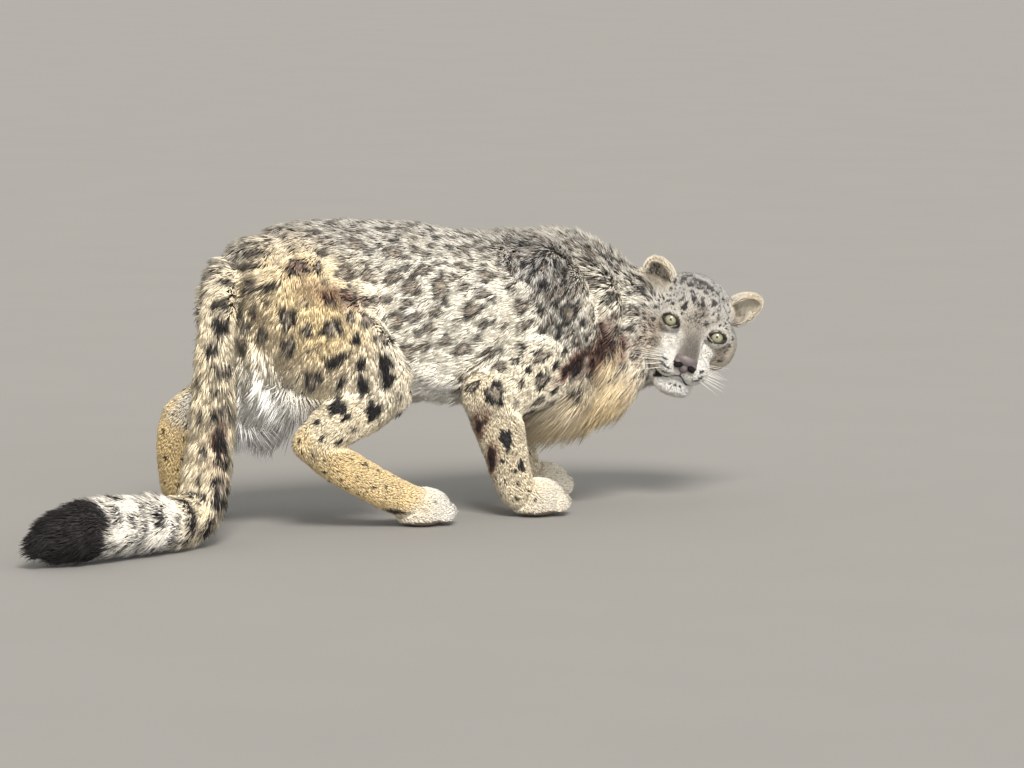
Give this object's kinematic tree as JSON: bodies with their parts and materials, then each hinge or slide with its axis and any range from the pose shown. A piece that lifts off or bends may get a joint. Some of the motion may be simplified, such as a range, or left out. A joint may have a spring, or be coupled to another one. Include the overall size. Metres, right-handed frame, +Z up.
{
  "type": "snow leopard",
  "caption": "Snow leopard in mid step, low on bent legs, head turned back over its right side, long thick tail laid out behind it on the floor.",
  "frame": {"origin": "middle of the underside of the box round the whole animal, on the floor that the feet and tail rest on", "axes": "+X along the trunk from rump to chest, +Y to the animal's left, +Z up"},
  "size_m": [1.4772, 0.5466, 0.505],
  "materials": {
    "cream_fur": "long soft fur, cream with grey rosettes and black spots",
    "grey_fur": "dense fur, smoke grey with small black spots",
    "white_fur": "soft white fur",
    "foot_fur": "short fur, ochre to white",
    "ringed_fur": "long fur, cream with brown-black blotches and rings",
    "black_fur": "long fur, black at the end",
    "iris": "wet and clear over a pale green iris",
    "nose_leather": "bare damp skin"
  },
  "bodies": {
    "root": {"head": "grey_fur", "lower_jaw": "white_fur", "nose": "nose_leather", "right_eye": "iris", "left_eye": "iris", "right_ear": "grey_fur", "left_ear": "grey_fur", "neck": "grey_fur", "chest": "cream_fur", "loin": "cream_fur", "rump": "cream_fur", "tail_root": "ringed_fur", "tail_upper": "ringed_fur", "tail_lower": "ringed_fur", "tail_tip": "black_fur", "right_shoulder": "cream_fur", "right_forearm": "cream_fur", "right_forefoot": "foot_fur", "left_shoulder": "cream_fur", "left_forearm": "cream_fur", "left_forefoot": "foot_fur", "right_thigh": "cream_fur", "right_shank": "cream_fur", "right_hindfoot": "foot_fur", "left_thigh": "cream_fur", "left_shank": "cream_fur", "left_hindfoot": "foot_fur"}
  },
  "joints": []
}
